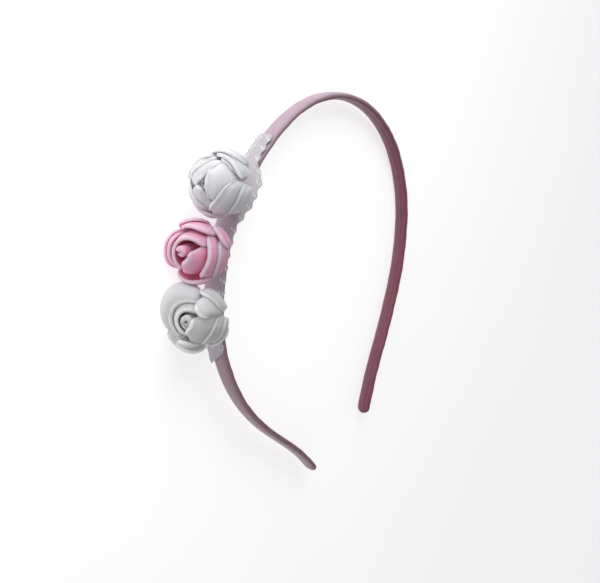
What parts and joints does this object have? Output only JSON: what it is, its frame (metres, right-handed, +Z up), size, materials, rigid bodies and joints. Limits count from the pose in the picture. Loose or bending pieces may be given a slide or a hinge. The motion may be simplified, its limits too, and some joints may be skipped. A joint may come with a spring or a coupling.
{
  "type": "flower headband",
  "caption": "Slim springy hair hoop covered with satin ribbon, with small foam roses in a row on a strip of lace along one leg.",
  "frame": {"origin": "middle of the underside of the headband's box as it lies on a table", "axes": "+Z up from the table, +Y towards the crown of the hoop, roses on the -X leg"},
  "size_m": [0.1348, 0.1338, 0.0192],
  "materials": {
    "satin": "satin",
    "lace": "matte",
    "white_foam": "matte",
    "pink_foam": "matte"
  },
  "bodies": {
    "root": {"band": "satin", "lace_strip": "lace", "rose_top_bud": "white_foam", "rose_top_petal_01": "white_foam", "rose_top_petal_02": "white_foam", "rose_top_petal_03": "white_foam", "rose_top_petal_04": "white_foam", "rose_top_petal_05": "white_foam", "rose_top_petal_06": "white_foam", "rose_top_petal_07": "white_foam", "rose_top_petal_08": "white_foam", "rose_top_petal_09": "white_foam", "rose_top_petal_10": "white_foam", "rose_top_petal_11": "white_foam", "rose_top_petal_12": "white_foam", "rose_top_petal_13": "white_foam", "rose_middle_bud": "pink_foam", "rose_middle_petal_01": "pink_foam", "rose_middle_petal_02": "pink_foam", "rose_middle_petal_03": "pink_foam", "rose_middle_petal_04": "pink_foam", "rose_middle_petal_05": "pink_foam", "rose_middle_petal_06": "pink_foam", "rose_middle_petal_07": "pink_foam", "rose_middle_petal_08": "pink_foam", "rose_middle_petal_09": "pink_foam", "rose_middle_petal_10": "pink_foam", "rose_bottom_bud": "white_foam", "rose_bottom_petal_01": "white_foam", "rose_bottom_petal_02": "white_foam", "rose_bottom_petal_03": "white_foam", "rose_bottom_petal_04": "white_foam", "rose_bottom_petal_05": "white_foam", "rose_bottom_petal_06": "white_foam", "rose_bottom_petal_07": "white_foam", "rose_bottom_petal_08": "white_foam", "rose_bottom_petal_09": "white_foam", "rose_bottom_petal_10": "white_foam", "rose_bottom_petal_11": "white_foam"}
  },
  "joints": []
}
